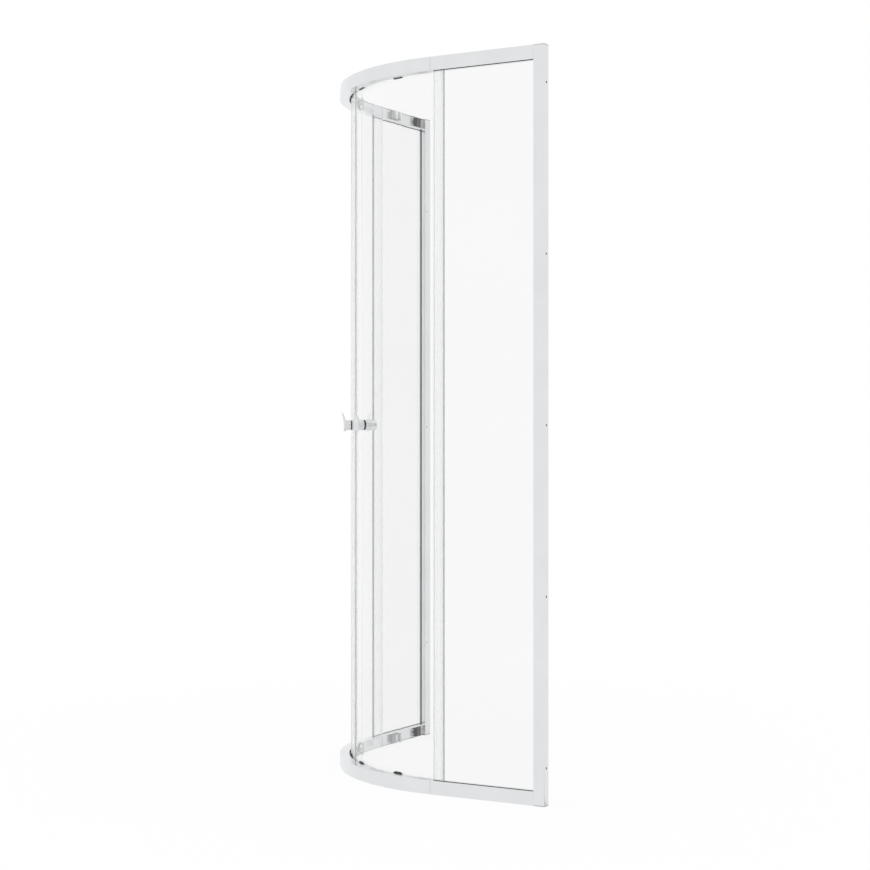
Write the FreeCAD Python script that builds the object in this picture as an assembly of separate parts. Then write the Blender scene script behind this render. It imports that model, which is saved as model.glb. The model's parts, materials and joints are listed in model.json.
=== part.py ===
import FreeCAD, Part
import math
import os

Vector = FreeCAD.Vector

os.makedirs("parts", exist_ok=True)

# Quadrant shower enclosure, millimetres, +Z up.
# Origin: middle of the square footprint, at the height of the tray.
# The two walls stand at +X and +Y. The curved entrance bulges towards -X -Y.
# The right panel runs along the -Y side, the left panel along the -X side.
# The left half is the right half mirrored in the vertical plane X = Y.

# ---- overall size ----
WIDTH = 875.0               # wall to the outer face of the opposite panel
CURVE_RADIUS = 530.0        # outer face of the curved rails
HEIGHT = 2000.0

# ---- wall profile and side stile ----
POST_WIDTH = 32.0           # how far the wall profile covers the panel
POST_DEPTH = 25.5
POST_WALL = 1.8
POST_CAP = 2.5              # thickness of the end caps
POST_CAP_ROUND = 1.0
CAP_PLUG_LENGTH = 9.0
WALL_HOLE_RADIUS = 3.0
WALL_HOLE_COUNT = 5
WALL_HOLE_END = 100.0       # outermost holes to the enclosure's ends
STILE_BACK = 8.0            # from the wall to the back of the stile
STILE_FIT = 0.2             # sliding fit between stile and wall profile
STILE_WALL = 1.5
STILE_POCKET = 13.0         # depth of the stile's glass pocket
STILE_SCREW_COUNT = 3
STILE_SCREW_END = 300.0     # outermost screws to the enclosure's ends

# ---- rails ----
RAIL_HEIGHT = 38.0
RAIL_WALL = 1.6
RAIL_CROWN = 1.2            # how far the outer face curves back at its outer end
RAIL_CROWN_RISE = 18.0      # height over which it curves back
RAIL_FLANGE = 18.0          # depth of the outer end flange
RAIL_EDGE = 1.0             # turned edge that keeps the wheels on the track
RAIL_EDGE_DROP = 1.2
TRACK_WALL = 1.8            # lip that the wheels run along
TRACK_DEPTH = 15.5          # outer face to the middle of a wheel, door closed
TRACK_GAP = 0.45            # wheel to the rail's web, door closed
TRACK_DRIFT = 9.8           # room for the wheels to drift inwards as a door opens

# ---- fixed glass ----
GLASS = 6.0
GLASS_SETBACK = 4.4         # outer face of rail to outer face of fixed glass
GASKET = 1.5
GASKET_PROUD = 0.6
FIXED_EDGE = 9.0            # free edge of the fixed glass, before the curve
SEAL_WALL = 1.0
SEAL_GRIP = 10.0
SEAL_BASE = 1.5
SEAL_END_GAP = 1.0          # between a seal's end and what it clears
FIN_THICKNESS = 1.2
FIXED_FIN_SPREAD = 13.0     # how far the fixed fin leans past the glass edge
FIXED_FIN_TIP = 31.1        # depth of its tip, clear of the passing door

# ---- doors ----
DOOR_DEPTH = 32.0           # outer face of rail to outer face of door glass
DOOR_END_GAP = 7.0          # glass edge to the rail's outer end
DOOR_OVERLAP = 25.0         # trailing edge past the start of the curve
MEETING_GAP = 0.2           # each magnetic seal to the middle line
MAGNET_SEAL_WIDTH = 7.0
MAGNET_SEAL_DEPTH = 14.0
MAGNET_WIDTH = 3.0
MAGNET_DEPTH = 8.0
DOOR_FIN_SPREAD = 6.0
DOOR_FIN_GAP = 1.0          # tip of the door's fin to the fixed glass

# ---- rollers ----
LEADING_ANGLE = 8.0         # leading rollers, from the middle line
TRAILING_ANGLE = 30.0       # trailing rollers, from the middle line
WHEEL_RADIUS = 11.5
WHEEL_THICKNESS = 3.0
WHEEL_ROUND = 0.6
WHEEL_GAP = 0.3             # tread to track
WHEEL_HOLE_COUNT = 6
WHEEL_HOLE_RADIUS = 1.1
PIN_RADIUS = 4.0
PIN_FIT = 0.05              # running clearance of the wheel on its pin
PIN_HEAD_RADIUS = 6.0
PIN_HEAD = 1.2
BODY_WIDTH = 34.0
BODY_WHEEL_GAP = 0.8        # wheel to the body's outer face
BODY_FOOT = 3.0             # body's lower end to the rail's outer end
BODY_TOP = 34.4
BODY_SEAT = 0.2             # flat body to curved glass
BODY_ROUND = 2.0
APRON = 3.2                 # thin part of the body that clears the rail's edge
APRON_TOP = 40.0
BOLT_RADIUS = 3.0
BUSH_WALL = 2.9
CAP_RADIUS = 11.0
CAP_THICKNESS = 7.0
CAP_ROUND = 1.5
CARRIER_WIDTH = 14.0
CARRIER_THICKNESS = 4.0
CARRIER_FOOT = 14.0
BUTTON_TOP = 42.5
BUTTON_WIDTH = 24.0
BUTTON_THICKNESS = 2.4
BUTTON_ROUND = 1.2
BUTTON_BRIDGE = 2.5
BUTTON_STROKE = 3.0
SLIDE_FIT = 0.3
SPRING_SEAT = 5.0
SPRING_RADIUS = 1.8
SPRING_WIRE = 0.7

# ---- handles ----
HANDLE_ANGLE = 9.0          # from the middle line
HANDLE_HEIGHT = 1003.0
HANDLE_RADIUS = 15.0
HANDLE_NECK = 15.0          # length of the round part outside the glass
HANDLE_INNER = 33.0         # length of the knob inside the glass
HANDLE_ROUND = 3.0
HANDLE_WASHER = 1.5
HANDLE_WASHER_INSET = 1.0   # washer's rim inside the handle's
HANDLE_BOLT_RADIUS = 4.0
HANDLE_BOLT_DEPTH = 12.0    # thread in each half of the handle
BLADE_THICKNESS = 6.0
BLADE_RISE = 37.0           # tip of the blade above the handle's axis
BLADE_LEAN = 6.0            # tip further out than the foot
BLADE_TIP_RADIUS = 5.0
BLADE_FOOT_RADIUS = 18.5

# ---- pieces that sit in the rails' track ----
STOP_SETBACK = 188.0        # from the wall; the striking face is at the other end
STOP_LENGTH = 36.5
STOP_RIB = 11.0
STOP_BASE = 3.0
STOP_REACH = 30.5           # depth of the ribs from the rail's outer face
STOP_HEIGHT = 28.0
BRACKET_WALL = 1.5
BRACKET_LENGTH = 75.0
BRACKET_INSET = 4.0
BRACKET_TAB = 9.5
BRACKET_SCREW_INSET = 11.0
BRACKET_SCREW_SPACING = 14.0
BLOCK_LENGTH = 24.0
BLOCK_OFFSET = 30.0         # from the rail's end
BLOCK_REACH = 26.0          # depth of its inner face
BLOCK_ROUND = 1.5

# ---- small screws ----
SCREW_RADIUS = 1.7
SCREW_HEAD_RADIUS = 3.2
SCREW_HEAD = 2.0
SCREW_LENGTH = 6.0          # stile screws
SCREW_TIP_GAP = 0.3         # track screws' tips to the glass gasket
SCREW_FIT = 0.1

PAST = 1.0                  # how far a cutting solid runs past the face it cuts

# ---- values worked out from those above ----
HALF = WIDTH / 2
CENTRE = CURVE_RADIUS - HALF            # arc centre, the same in X and Y
MIDDLE_LINE = 225.0                     # direction of the meeting line
CURVE_END = 270.0                       # where the right straight begins
RAIL_RUN = HALF - POST_WIDTH - CENTRE   # straight part of a rail
WEB_FACE = TRACK_DEPTH - WHEEL_THICKNESS / 2 - TRACK_GAP
EDGE_FACE = TRACK_DEPTH + WHEEL_THICKNESS / 2 + TRACK_DRIFT
RAIL_DEPTH = EDGE_FACE + RAIL_EDGE
TRACK_LEVEL = RAIL_HEIGHT - TRACK_WALL
WHEEL_LEVEL = TRACK_LEVEL - WHEEL_GAP - WHEEL_RADIUS
WHEEL_R = CURVE_RADIUS - TRACK_DEPTH    # wheel's middle, from the arc centre
GLASS_OUT = CURVE_RADIUS - DOOR_DEPTH   # door glass, from the arc centre
GLASS_IN = GLASS_OUT - GLASS
GLASS_START = MEETING_GAP + MAGNET_SEAL_WIDTH + SEAL_BASE
BODY_FACE_R = WHEEL_R - WHEEL_THICKNESS / 2 - BODY_WHEEL_GAP
BODY_SEAT_R = GLASS_OUT + BODY_SEAT
CAP_SEAT_R = GLASS_IN - BODY_SEAT
SLOT = GLASS + 2 * GASKET
SLOT_DEPTH = GLASS_SETBACK - GASKET     # outer face of rail to the glass slot
STILE_DEPTH = POST_DEPTH - 2 * POST_WALL - 2 * STILE_FIT
STILE_FACE = POST_WALL + STILE_FIT      # stile's outer face from the rail's


# ---- basic solids ----
def prism(points, low, high):
    """Vertical prism on a plan outline."""
    corners = [Vector(x, y, low) for x, y in points]
    wire = Part.makePolygon(corners + corners[:1])
    return Part.Face(wire).extrude(Vector(0, 0, high - low))


def block(x0, x1, y0, y1, z0, z1):
    return Part.makeBox(x1 - x0, y1 - y0, z1 - z0, Vector(x0, y0, z0))


def panel_block(wall0, wall1, depth0, depth1, z0, z1):
    """Block on the right panel: distance from the wall, then from the outer face."""
    return block(HALF - wall1, HALF - wall0, depth0 - HALF, depth1 - HALF, z0, z1)


def panel_outline(points, low, high):
    """Prism on the right panel, outline as (distance from wall, depth)."""
    return prism([(HALF - wall, depth - HALF) for wall, depth in points], low, high)


def panel_rod(wall, z, radius, depth0, depth1):
    """Rod square to the right panel."""
    start = Vector(HALF - wall, depth0 - HALF, z)
    return Part.makeCylinder(radius, depth1 - depth0, start, Vector(0, 1, 0))


def wall_rod(depth, z, radius, wall0, wall1):
    """Rod square to the right-hand wall."""
    start = Vector(HALF - wall1, depth - HALF, z)
    return Part.makeCylinder(radius, wall1 - wall0, start, Vector(1, 0, 0))


def ring(radius_in, radius_out, angle0, angle1, low, high):
    """Sector of a ring about the arc centre, angles in degrees."""
    base = Vector(CENTRE, CENTRE, low)
    up = Vector(0, 0, 1)
    span = angle1 - angle0
    outer = Part.makeCylinder(radius_out, high - low, base, up, span)
    inner = Part.makeCylinder(radius_in, high - low, base, up, span)
    sector = outer.cut(inner)
    sector.rotate(base, up, angle0)
    return sector


def arc_angle(length):
    """Degrees of door travel for a length along the door glass."""
    return math.degrees(length / GLASS_OUT)


def on_curve(shape, angle):
    """Turns a shape from the +X radius of the arc onto the radius at an angle."""
    placed = shape.copy()
    placed.rotate(Vector(0, 0, 0), Vector(0, 0, 1), angle)
    placed.translate(Vector(CENTRE, CENTRE, 0))
    return placed


def radial_rod(radius, r0, r1, z):
    """Rod along the +X radius, before it is turned onto the curve."""
    return Part.makeCylinder(radius, r1 - r0, Vector(r0, 0, z), Vector(1, 0, 0))


def mirror_side(shape):
    """Right half to left half."""
    return shape.mirror(Vector(0, 0, 0), Vector(1, -1, 0))


def mirror_height(shape):
    """Bottom to top."""
    return shape.mirror(Vector(0, 0, HEIGHT / 2), Vector(0, 0, 1))


def union(shapes):
    return shapes[0].fuse(shapes[1:]).removeSplitter()


def rounded(shape, radius, direction):
    """Fillets the straight edges that run along a direction."""
    edges = []
    for edge in shape.Edges:
        along = edge.tangentAt(edge.FirstParameter).cross(direction)
        if edge.Curve.TypeId == "Part::GeomLine" and along.Length < 1e-6:
            edges.append(edge)
    return shape.makeFillet(radius, edges)


def four_ways(shape):
    """A bottom right piece, with its copies at the other three corners."""
    left = mirror_side(shape)
    return [shape, left, mirror_height(shape), mirror_height(left)]


def save(name, solids):
    shape = solids[0] if len(solids) == 1 else Part.makeCompound(solids)
    shape.exportStep("parts/" + name + ".step")


def save_pair(name, solids):
    """Saves the right side's solids and their mirror images."""
    save("right_" + name, solids)
    save("left_" + name, [mirror_side(solid) for solid in solids])


# ---- wall profile, caps and side stile ----
def cap_plug_outline():
    """Plan of the space between the wall profile's back and the stile."""
    side = POST_WALL + STILE_FIT
    wall0, wall1 = side, STILE_BACK - STILE_FIT
    depth0, depth1 = side, POST_DEPTH - side
    return [(wall0, depth0), (wall1, depth0), (wall1, depth1), (wall0, depth1)]


def spaced_levels(count, end):
    """Evenly spaced heights, the outermost ones at a distance from the enclosure's ends."""
    step = (HEIGHT - 2 * end) / (count - 1)
    return [end + i * step for i in range(count)]


def stile_screw_levels():
    return spaced_levels(STILE_SCREW_COUNT, STILE_SCREW_END)


def stile_screw_place():
    """Distance of the stile's fixing screws from the wall."""
    return (STILE_BACK + POST_WIDTH) / 2


def wall_profile():
    """U channel screwed to the wall, open towards the panel."""
    outline = [(0, 0), (POST_WIDTH, 0), (POST_WIDTH, POST_WALL), (POST_WALL, POST_WALL),
               (POST_WALL, POST_DEPTH - POST_WALL), (POST_WIDTH, POST_DEPTH - POST_WALL),
               (POST_WIDTH, POST_DEPTH), (0, POST_DEPTH)]
    shape = panel_outline(outline, POST_CAP, HEIGHT - POST_CAP)
    for z in spaced_levels(WALL_HOLE_COUNT, WALL_HOLE_END):
        hole = wall_rod(POST_DEPTH / 2, z, WALL_HOLE_RADIUS, -PAST, POST_WALL + PAST)
        shape = shape.cut(hole)
    for z in stile_screw_levels():
        hole = panel_rod(stile_screw_place(), z, SCREW_RADIUS + SCREW_FIT,
                         POST_DEPTH - POST_WALL - PAST, POST_DEPTH + PAST)
        shape = shape.cut(hole)
    return shape


def profile_cap():
    """Plastic cap on the lower end of a wall profile, with its plug."""
    plate = panel_block(0, POST_WIDTH, 0, POST_DEPTH, 0, POST_CAP)
    plate = rounded(plate, POST_CAP_ROUND, Vector(0, 0, 1))
    plug = panel_outline(cap_plug_outline(), POST_CAP, POST_CAP + CAP_PLUG_LENGTH)
    return union([plate, plug])


def side_stile():
    """Box section that slides in the wall profile and holds the fixed glass."""
    low, high = POST_CAP, HEIGHT - POST_CAP
    back, front = STILE_BACK, POST_WIDTH
    face, rear = STILE_FACE, STILE_FACE + STILE_DEPTH
    box = panel_block(back, front, face, rear, low, high)
    pocket = panel_block(front - STILE_POCKET, front + PAST, SLOT_DEPTH, SLOT_DEPTH + SLOT,
                         low - PAST, high + PAST)
    box_inside = panel_block(back + STILE_WALL, front - STILE_WALL,
                             SLOT_DEPTH + SLOT + STILE_WALL, rear - STILE_WALL,
                             low - PAST, high + PAST)
    shape = box.cut(pocket).cut(box_inside)
    for z in stile_screw_levels():
        hole = panel_rod(stile_screw_place(), z, SCREW_RADIUS + SCREW_FIT,
                         rear - STILE_WALL - PAST, rear + PAST)
        shape = shape.cut(hole)
    return shape


def stile_screw(z):
    """Self-tapping screw from the wall profile's inner leg into the stile."""
    wall = stile_screw_place()
    head = panel_rod(wall, z, SCREW_HEAD_RADIUS, POST_DEPTH, POST_DEPTH + SCREW_HEAD)
    shank = panel_rod(wall, z, SCREW_RADIUS, POST_DEPTH - SCREW_LENGTH, POST_DEPTH)
    return union([head, shank])


# ---- rails ----
def rail_section(x):
    """Cross-section of the bottom rail, standing in the plane at x."""
    def at(depth, z):
        return Vector(x, depth - HALF, z)

    radius = (RAIL_CROWN_RISE ** 2 + RAIL_CROWN ** 2) / (2 * RAIL_CROWN)
    half_turn = math.asin(RAIL_CROWN_RISE / radius) / 2
    middle = at(radius * (1 - math.cos(half_turn)), RAIL_CROWN_RISE - radius * math.sin(half_turn))
    crown = Part.Arc(at(0, RAIL_CROWN_RISE), middle, at(RAIL_CROWN, 0))
    corners = [at(RAIL_CROWN, 0), at(RAIL_FLANGE, 0), at(RAIL_FLANGE, RAIL_WALL),
               at(WEB_FACE, RAIL_WALL), at(WEB_FACE, TRACK_LEVEL), at(EDGE_FACE, TRACK_LEVEL),
               at(EDGE_FACE, TRACK_LEVEL - RAIL_EDGE_DROP),
               at(RAIL_DEPTH, TRACK_LEVEL - RAIL_EDGE_DROP),
               at(RAIL_DEPTH, RAIL_HEIGHT), at(0, RAIL_HEIGHT), at(0, RAIL_CROWN_RISE)]
    edges = [Part.makeLine(a, b) for a, b in zip(corners, corners[1:])]
    outer = Part.Wire([crown.toShape()] + edges)
    wall = RAIL_CROWN + RAIL_WALL
    hollow = [at(wall, RAIL_WALL), at(WEB_FACE - RAIL_WALL, RAIL_WALL),
              at(WEB_FACE - RAIL_WALL, TRACK_LEVEL), at(wall, TRACK_LEVEL)]
    inner = Part.makePolygon(hollow + hollow[:1])
    return Part.Face(outer).cut(Part.Face(inner)).Faces[0]


def along_rail(section):
    """Carries a section at the curve's right end along both straights and the curve."""
    straight = section.extrude(Vector(RAIL_RUN, 0, 0))
    curve = section.revolve(Vector(CENTRE, CENTRE, 0), Vector(0, 0, 1), -90)
    return union([straight, curve, mirror_side(straight)])


def glass_slot():
    """Slot for the fixed glass and its gasket, in the rail's inner-facing edge."""
    return block(CENTRE + FIXED_EDGE, HALF - POST_WIDTH + PAST, SLOT_DEPTH - HALF,
                 SLOT_DEPTH + SLOT - HALF, TRACK_LEVEL - PAST, RAIL_HEIGHT + PAST)


def track_screw_places():
    """Distance from the wall and level of each screw into the rail's web."""
    middle = RAIL_HEIGHT / 2
    near_end = POST_WIDTH + BRACKET_SCREW_INSET + SCREW_HEAD_RADIUS
    far_end = POST_WIDTH + BRACKET_LENGTH - BRACKET_SCREW_INSET
    half = BRACKET_SCREW_SPACING / 2
    return [(near_end, middle - half), (near_end, middle + half),
            (far_end, middle - half), (far_end, middle + half)]


def stop_screw_place():
    """Distance from the wall and level of a door stop's screw."""
    return STOP_SETBACK + STOP_LENGTH / 2, (BODY_FOOT + STOP_HEIGHT) / 2


def bottom_rail():
    shape = along_rail(rail_section(CENTRE))
    slot = glass_slot()
    shape = shape.cut(slot).cut(mirror_side(slot))
    for wall, z in track_screw_places() + [stop_screw_place()]:
        hole = panel_rod(wall, z, SCREW_RADIUS + SCREW_FIT, WEB_FACE - RAIL_WALL - PAST,
                         WEB_FACE + PAST)
        shape = shape.cut(hole).cut(mirror_side(hole))
    return shape


# ---- fixed glass, its gaskets and its free-edge seal ----
def fixed_glass():
    """Flat pane from the stile's pocket to the start of the curve."""
    back = POST_WIDTH - STILE_POCKET + GASKET
    front = HALF - CENTRE - FIXED_EDGE
    edge = RAIL_WALL + GASKET
    return panel_block(back, front, GLASS_SETBACK, GLASS_SETBACK + GLASS, edge, HEIGHT - edge)


def rail_gasket():
    """Rubber U between the bottom rail and the fixed glass."""
    wall0, wall1 = POST_WIDTH, HALF - CENTRE - FIXED_EDGE
    outer = panel_block(wall0, wall1, SLOT_DEPTH, SLOT_DEPTH + SLOT,
                        RAIL_WALL, RAIL_HEIGHT + GASKET_PROUD)
    return outer.cut(fixed_glass())


def stile_gasket():
    """Rubber U between the stile's pocket and the fixed glass."""
    back = POST_WIDTH - STILE_POCKET
    outer = panel_block(back, POST_WIDTH, SLOT_DEPTH, SLOT_DEPTH + SLOT,
                        POST_CAP, HEIGHT - POST_CAP)
    return outer.cut(fixed_glass())


def overlap_seal():
    """Clear seal on the fixed glass's free edge, with a fin towards the door."""
    edge = HALF - CENTRE - FIXED_EDGE
    tip = edge + FIXED_FIN_SPREAD
    depth0 = GLASS_SETBACK - SEAL_WALL
    depth1 = GLASS_SETBACK + GLASS + SEAL_WALL
    base = edge + SEAL_BASE
    low = RAIL_HEIGHT + SEAL_END_GAP
    high = HEIGHT - low
    grip = [(edge - SEAL_GRIP, depth0), (base, depth0), (base, depth1), (edge - SEAL_GRIP, depth1)]
    fin = [(edge, depth1 - SEAL_WALL / 2), (base, depth1 - SEAL_WALL), (base, depth1),
           (tip + FIN_THICKNESS, FIXED_FIN_TIP), (tip, FIXED_FIN_TIP)]
    fin_low = BUTTON_TOP + SEAL_END_GAP
    fin = panel_outline(fin, fin_low, HEIGHT - fin_low)
    return union([panel_outline(grip, low, high), fin]).cut(fixed_glass())


# ---- pieces in the rails' track ----
def corner_bracket():
    """Steel angle that ties the bottom rail to the side stile."""
    low, high = BRACKET_INSET, RAIL_HEIGHT - BRACKET_INSET
    leg = panel_block(POST_WIDTH, POST_WIDTH + BRACKET_LENGTH, WEB_FACE, WEB_FACE + BRACKET_WALL,
                      low, high)
    tab = panel_block(POST_WIDTH, POST_WIDTH + BRACKET_WALL, WEB_FACE, WEB_FACE + BRACKET_TAB,
                      low, high)
    shape = union([leg, tab])
    for wall, z in track_screw_places():
        shape = shape.cut(panel_rod(wall, z, SCREW_RADIUS + SCREW_FIT, WEB_FACE - PAST,
                                    WEB_FACE + BRACKET_WALL + PAST))
    return shape


def corner_block():
    """Black buffer block that sits on the bracket between its screws."""
    start = POST_WIDTH + BLOCK_OFFSET
    shape = panel_block(start, start + BLOCK_LENGTH, WEB_FACE + BRACKET_WALL, BLOCK_REACH,
                        BRACKET_INSET, RAIL_HEIGHT - BRACKET_INSET)
    return rounded(shape, BLOCK_ROUND, Vector(0, 1, 0))


def door_stop():
    """Stop that a trailing roller meets, a base plate with two ribs."""
    start, end = STOP_SETBACK, STOP_SETBACK + STOP_LENGTH
    low, high = BODY_FOOT, STOP_HEIGHT
    base = panel_block(start, end, WEB_FACE, WEB_FACE + STOP_BASE, low, high)
    ribs = [panel_block(wall, wall + STOP_RIB, WEB_FACE, STOP_REACH, low, high)
            for wall in (start, end - STOP_RIB)]
    shape = union([base] + ribs)
    wall, z = stop_screw_place()
    return shape.cut(panel_rod(wall, z, SCREW_RADIUS + SCREW_FIT, WEB_FACE - PAST,
                               WEB_FACE + STOP_BASE + PAST))


def track_screw(wall, z, seat):
    """Pan-head screw into the rail's web, its head resting on a seat."""
    head = panel_rod(wall, z, SCREW_HEAD_RADIUS, seat, seat + SCREW_HEAD)
    shank = panel_rod(wall, z, SCREW_RADIUS, SLOT_DEPTH + SLOT + SCREW_TIP_GAP, seat)
    return union([head, shank])


def track_screws():
    """The bottom right screws: four in the bracket and one in the stop."""
    bracket_seat = WEB_FACE + BRACKET_WALL
    screws = [track_screw(wall, z, bracket_seat) for wall, z in track_screw_places()]
    wall, z = stop_screw_place()
    return screws + [track_screw(wall, z, WEB_FACE + STOP_BASE)]


# ---- right door: glass and seals ----
def roller_angles():
    return [MIDDLE_LINE + LEADING_ANGLE, MIDDLE_LINE + TRAILING_ANGLE]


def door_glass():
    """Curved pane with four roller holes and one handle hole."""
    start = MIDDLE_LINE + arc_angle(GLASS_START)
    end = CURVE_END + arc_angle(DOOR_OVERLAP)
    shape = ring(GLASS_IN, GLASS_OUT, start, end, DOOR_END_GAP, HEIGHT - DOOR_END_GAP)
    bush = BOLT_RADIUS + SCREW_FIT + BUSH_WALL + SCREW_FIT
    for angle in roller_angles():
        for z in (WHEEL_LEVEL, HEIGHT - WHEEL_LEVEL):
            hole = radial_rod(bush, GLASS_IN - PAST, GLASS_OUT + PAST, z)
            shape = shape.cut(on_curve(hole, angle))
    hole = radial_rod(HANDLE_BOLT_RADIUS + SCREW_FIT, GLASS_IN - PAST, GLASS_OUT + PAST,
                      HANDLE_HEIGHT)
    return shape.cut(on_curve(hole, MIDDLE_LINE + HANDLE_ANGLE))


def door_ring(length0, length1, inner, outer, datum):
    """Full-height strip that follows the door, lengths along the glass from a datum."""
    return ring(inner, outer, datum + arc_angle(length0), datum + arc_angle(length1),
                DOOR_END_GAP, HEIGHT - DOOR_END_GAP)


def magnet_strip():
    """Magnet that fills the pocket inside the leading seal's housing."""
    middle = (GLASS_IN + GLASS_OUT) / 2
    start = MEETING_GAP + SEAL_WALL
    return door_ring(start, start + MAGNET_WIDTH, middle - MAGNET_DEPTH / 2,
                     middle + MAGNET_DEPTH / 2, MIDDLE_LINE)


def magnetic_seal():
    """Clear seal on the leading edge, a square housing and a grip on the glass."""
    middle = (GLASS_IN + GLASS_OUT) / 2
    housing = door_ring(MEETING_GAP, MEETING_GAP + MAGNET_SEAL_WIDTH,
                        middle - MAGNET_SEAL_DEPTH / 2, middle + MAGNET_SEAL_DEPTH / 2, MIDDLE_LINE)
    grip = door_ring(MEETING_GAP + MAGNET_SEAL_WIDTH, GLASS_START + SEAL_GRIP,
                     GLASS_IN - SEAL_WALL, GLASS_OUT + SEAL_WALL, MIDDLE_LINE)
    pane = door_ring(GLASS_START, GLASS_START + SEAL_GRIP + PAST, GLASS_IN, GLASS_OUT, MIDDLE_LINE)
    return union([housing, grip]).cut(pane).cut(magnet_strip())


def trailing_seal():
    """Clear seal on the trailing edge, with a fin that reaches for the fixed glass."""
    grip = door_ring(DOOR_OVERLAP - SEAL_GRIP, DOOR_OVERLAP + SEAL_BASE,
                     GLASS_IN - SEAL_WALL, GLASS_OUT + SEAL_WALL, CURVE_END)
    pane = door_ring(DOOR_OVERLAP - SEAL_GRIP - PAST, DOOR_OVERLAP, GLASS_IN, GLASS_OUT, CURVE_END)
    tip_r = CURVE_RADIUS - GLASS_SETBACK - GLASS - DOOR_FIN_GAP
    root_r = GLASS_OUT + SEAL_WALL / 2
    low = BUTTON_TOP + SEAL_END_GAP
    outline = [(root_r, 0), (root_r, SEAL_BASE), (tip_r, DOOR_FIN_SPREAD + FIN_THICKNESS),
               (tip_r, DOOR_FIN_SPREAD)]
    fin = prism(outline, low, HEIGHT - low)
    fin = on_curve(fin, CURVE_END + arc_angle(DOOR_OVERLAP))
    return union([grip, fin]).cut(pane)


# ---- rollers, modelled on the +X radius at the bottom rail ----
def wheel():
    """Nylon wheel with a rounded tread, a recess for the pin's head and spoke holes."""
    inner, outer = WHEEL_R - WHEEL_THICKNESS / 2, WHEEL_R + WHEEL_THICKNESS / 2
    tyre = radial_rod(WHEEL_RADIUS, inner, outer, WHEEL_LEVEL)
    rims = [edge for edge in tyre.Edges if edge.Curve.TypeId == "Part::GeomCircle"]
    tyre = tyre.makeFillet(WHEEL_ROUND, rims)
    bore = radial_rod(PIN_RADIUS + PIN_FIT, inner - PAST, outer + PAST, WHEEL_LEVEL)
    recess = radial_rod(PIN_HEAD_RADIUS + SLIDE_FIT, outer - PIN_HEAD - SLIDE_FIT, outer + PAST,
                        WHEEL_LEVEL)
    shape = tyre.cut(bore).cut(recess)
    pitch = (PIN_HEAD_RADIUS + WHEEL_RADIUS) / 2
    for i in range(WHEEL_HOLE_COUNT):
        turn = 2 * math.pi * i / WHEEL_HOLE_COUNT
        start = Vector(inner - PAST, pitch * math.cos(turn), WHEEL_LEVEL + pitch * math.sin(turn))
        hole = Part.makeCylinder(WHEEL_HOLE_RADIUS, WHEEL_THICKNESS + 2 * PAST, start,
                                 Vector(1, 0, 0))
        shape = shape.cut(hole)
    return shape


def wheel_pin(root_r):
    """Pin through a wheel, from its root to its head, with a shoulder behind the wheel."""
    inner, outer = WHEEL_R - WHEEL_THICKNESS / 2, WHEEL_R + WHEEL_THICKNESS / 2
    pin = radial_rod(PIN_RADIUS, root_r, outer - PIN_HEAD, WHEEL_LEVEL)
    head = radial_rod(PIN_HEAD_RADIUS, outer - PIN_HEAD, outer - SLIDE_FIT, WHEEL_LEVEL)
    shoulder = radial_rod(PIN_HEAD_RADIUS, root_r, inner - 2 * PIN_FIT, WHEEL_LEVEL)
    return [pin, head, shoulder]


def body_shell():
    """Roller body: thick beside the wheel, a thin apron past the rail's edge."""
    half = BODY_WIDTH / 2
    thick = block(BODY_SEAT_R, BODY_FACE_R, -half, half, BODY_FOOT, BODY_TOP)
    apron = block(BODY_SEAT_R, BODY_SEAT_R + APRON, -half, half, BODY_FOOT, APRON_TOP)
    thick = rounded(thick, BODY_ROUND, Vector(1, 0, 0))
    apron = rounded(apron, BODY_ROUND, Vector(1, 0, 0))
    bore = radial_rod(BOLT_RADIUS + SCREW_FIT, GLASS_OUT, BODY_FACE_R + PAST, WHEEL_LEVEL)
    return union([thick, apron]).cut(bore)


def carrier_back_r():
    """Inner face of the sprung carrier."""
    return BODY_FACE_R - SLIDE_FIT - CARRIER_THICKNESS


def button_back_r():
    """Inner face of the release button, just clear of the glass."""
    return BODY_SEAT_R + SLIDE_FIT


def bridge_level():
    return BODY_TOP - BUTTON_BRIDGE


def bottom_body():
    """Body of a bottom roller, cut out for the sprung carrier and its button."""
    half = CARRIER_WIDTH / 2 + SLIDE_FIT
    pocket = block(carrier_back_r() - SLIDE_FIT, BODY_FACE_R + PAST, -half, half,
                   SPRING_SEAT, BODY_TOP + PAST)
    half = BUTTON_WIDTH / 2 + SLIDE_FIT
    slot = block(BODY_SEAT_R - PAST, carrier_back_r() + SLIDE_FIT, -half, half,
                 bridge_level() - BUTTON_STROKE - SLIDE_FIT, BUTTON_TOP)
    return body_shell().cut(pocket).cut(slot)


def carrier():
    """Sprung slide that holds a bottom wheel, with its release button."""
    half = CARRIER_WIDTH / 2
    plate = block(carrier_back_r(), BODY_FACE_R - SLIDE_FIT, -half, half, CARRIER_FOOT, BODY_TOP)
    bridge = block(button_back_r(), carrier_back_r(), -half, half, bridge_level(), BODY_TOP)
    half = BUTTON_WIDTH / 2
    button = block(button_back_r(), button_back_r() + BUTTON_THICKNESS, -half, half,
                   bridge_level(), BUTTON_TOP)
    button = rounded(button, BUTTON_ROUND, Vector(1, 0, 0))
    return union([plate, bridge, button] + wheel_pin(BODY_FACE_R - SLIDE_FIT))


def release_spring():
    """Spring under the carrier, drawn as a sleeve of the coil's size."""
    start = Vector(carrier_back_r() + CARRIER_THICKNESS / 2, 0, SPRING_SEAT)
    length = CARRIER_FOOT - SPRING_SEAT
    outer = Part.makeCylinder(SPRING_RADIUS, length, start)
    return outer.cut(Part.makeCylinder(SPRING_RADIUS - SPRING_WIRE, length, start))


def bolt_root_r():
    """Inner end of a roller bolt, inside its cap."""
    return CAP_SEAT_R - CAP_THICKNESS / 2


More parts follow.
